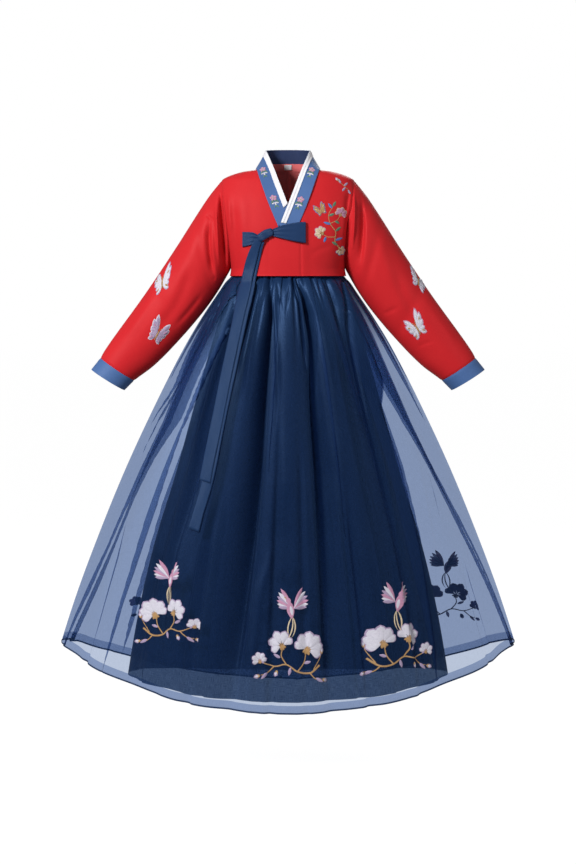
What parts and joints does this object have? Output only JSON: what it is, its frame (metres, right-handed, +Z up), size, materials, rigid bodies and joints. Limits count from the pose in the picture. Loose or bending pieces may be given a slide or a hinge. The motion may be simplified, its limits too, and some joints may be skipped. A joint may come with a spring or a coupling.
{
  "type": "woman's hanbok, filled out with no wearer",
  "caption": "Korean hanbok, filled out as worn: a short red jacket with a ribbon bow over a long, full navy organza skirt with a lining.",
  "frame": {"origin": "middle of the base of the neck, level with the tops of the shoulders, where the wearer's shoulders hold the garment up", "axes": "+Z up, -Y the way the wearer faces, +X the wearer's left"},
  "size_m": [1.0956, 0.4849, 1.3171],
  "materials": {
    "red": "woven, matt",
    "blue": "woven, matt",
    "navy": "satin",
    "organza": "sheer, with a slight sheen",
    "ribbon": "satin",
    "white": "woven, matt"
  },
  "bodies": {
    "root": {"body_front_left": "red", "body_front_right": "red", "overlap_panel": "red", "body_back_left": "red", "body_back_right": "red", "sleeve_left": "red", "sleeve_right": "red", "cuff_left": "blue", "cuff_right": "blue", "collar": "blue", "collar_strip": "white", "waistband": "navy", "skirt_front": "organza", "skirt_back": "organza", "lining_front": "navy", "lining_back": "navy", "bow_knot": "ribbon", "bow_loop": "ribbon", "bow_short_loop": "ribbon", "ribbon_tail_front": "ribbon", "ribbon_tail_rear": "ribbon", "neck_label": "white"}
  },
  "joints": []
}
